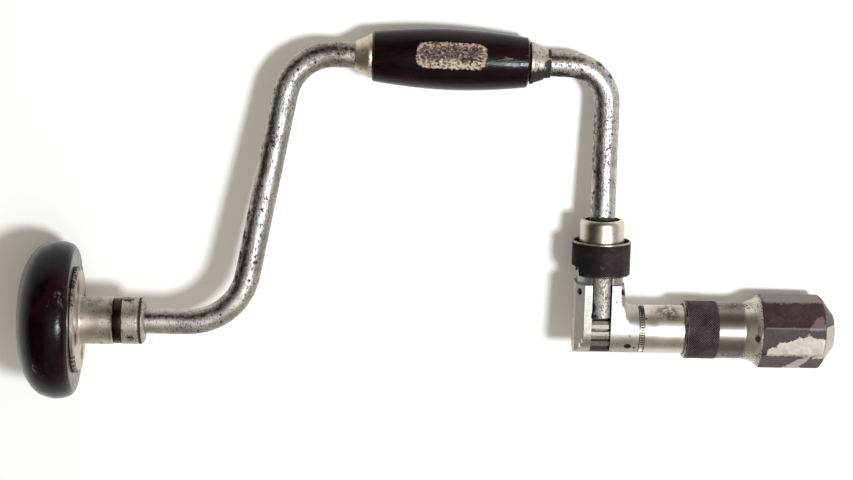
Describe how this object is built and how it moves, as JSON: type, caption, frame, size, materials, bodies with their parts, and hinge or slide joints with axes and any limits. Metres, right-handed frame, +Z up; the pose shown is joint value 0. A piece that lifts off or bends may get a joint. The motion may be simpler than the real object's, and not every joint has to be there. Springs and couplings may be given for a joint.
{
  "type": "ratchet bit brace",
  "caption": "Carpenter's hand brace: bent steel crank with a turning wooden pad and grip, a ratchet head set by a knurled ring, and an octagonal screw chuck with jaws.",
  "frame": {"origin": "middle of the base of its box, as the brace lies on a surface on its pad, its grip and one flat of its chuck", "axes": "+X along the main axis from the pad to the chuck, +Y from the main axis to the grip, +Z up"},
  "size_m": [0.381, 0.1752, 0.0737],
  "materials": {
    "nickel": "worn nickel plate with dark pits",
    "warm_nickel": "yellowed nickel plate",
    "dark_steel": "blackened steel",
    "steel": "bare steel",
    "black_wood": "lacquered near-black hardwood, scratched",
    "black_knurl": "blackened fine diamond knurl",
    "black_paint": "black paint, flaked to bare steel"
  },
  "bodies": {
    "crank": {"crank_rod": "nickel", "pad_collar": "nickel", "pad_collar_pin": "dark_steel", "pad_end_washer": "steel", "pad_end_nut": "steel", "grip_ferrule_left": "warm_nickel", "grip_ferrule_right": "dark_steel", "ratchet_head": "nickel", "cap_nut": "nickel", "head_screw_left": "dark_steel", "head_screw_right": "dark_steel", "end_plug": "steel", "spindle_bush": "steel", "bearing_screw": "dark_steel", "pawl_spring_front": "steel", "pawl_spring_back": "steel"},
    "pad": {"pad_wood": "black_wood", "pad_flange": "warm_nickel", "pad_screw_1": "steel", "pad_screw_2": "steel", "pad_screw_3": "steel", "pad_screw_4": "steel", "pad_thrust_ring": "dark_steel"},
    "grip": {"grip_wood": "black_wood"},
    "ring": {"direction_ring": "black_knurl"},
    "front_pawl": {"pawl_front": "steel"},
    "back_pawl": {"pawl_back": "steel"},
    "spindle": {"spindle": "nickel", "ratchet_gear": "dark_steel", "neck_ring": "nickel", "jaw_spring": "steel"},
    "closing_ring": {"closing_ring": "steel"},
    "shell": {"chuck_shell": "black_paint"},
    "upper_jaw": {"jaw_upper": "steel"},
    "lower_jaw": {"jaw_lower": "steel"}
  },
  "joints": [
    {"name": "pad_turn", "type": "hinge", "parent": "crank", "child": "pad", "pos_m": [0.07997, -0.05088, 0.02243], "axis": [0.9983, 0, -0.0574], "continuous": true},
    {"name": "grip_turn", "type": "hinge", "parent": "crank", "child": "grip", "pos_m": [0.00648, 0.07351, 0.01436], "axis": [0.9982, -0.0227, -0.0552], "continuous": true},
    {"name": "ring_turn", "type": "hinge", "parent": "crank", "child": "ring", "pos_m": [0.07997, -0.05088, 0.02243], "axis": [-0.0056, 0.9952, -0.0981], "range_deg": [-45, 45]},
    {"name": "pawl_front_lift", "type": "slide", "parent": "crank", "child": "front_pawl", "axis": [-0.0056, 0.9952, -0.0981], "range_m": [0, 0.0025], "stiffness_N_per_m": 400, "deforming": ["pawl_spring_front"]},
    {"name": "pawl_back_lift", "type": "slide", "parent": "crank", "child": "back_pawl", "axis": [-0.0056, 0.9952, -0.0981], "range_m": [0, 0.0025], "stiffness_N_per_m": 400, "deforming": ["pawl_spring_back"]},
    {"name": "spindle_turn", "type": "hinge", "parent": "crank", "child": "spindle", "pos_m": [0.07997, -0.05088, 0.02243], "axis": [0.9983, 0, -0.0574], "continuous": true},
    {"name": "closing_ring_slide", "type": "slide", "parent": "spindle", "child": "closing_ring", "axis": [0.9983, 0, -0.0574], "range_m": [-0.005, 0.005]},
    {"name": "shell_turn", "type": "hinge", "parent": "closing_ring", "child": "shell", "pos_m": [0.07997, -0.05088, 0.02243], "axis": [0.9983, 0, -0.0574], "range_deg": [-720, 720]},
    {"name": "jaw_upper_slide", "type": "slide", "parent": "spindle", "child": "upper_jaw", "axis": [-0.0056, 0.9952, -0.0981], "range_m": [-0.00134, 0.00134], "deforming": ["jaw_spring"]},
    {"name": "jaw_lower_slide", "type": "slide", "parent": "spindle", "child": "lower_jaw", "axis": [0.0056, -0.9952, 0.0981], "range_m": [-0.00134, 0.00134]}
  ],
  "couplings": [
    {"joint": "shell_turn", "follows": "closing_ring_slide", "rad_per_m": 2513.3},
    {"joint": "jaw_upper_slide", "follows": "closing_ring_slide", "ratio": 0.26794},
    {"joint": "jaw_lower_slide", "follows": "closing_ring_slide", "ratio": 0.26794}
  ]
}
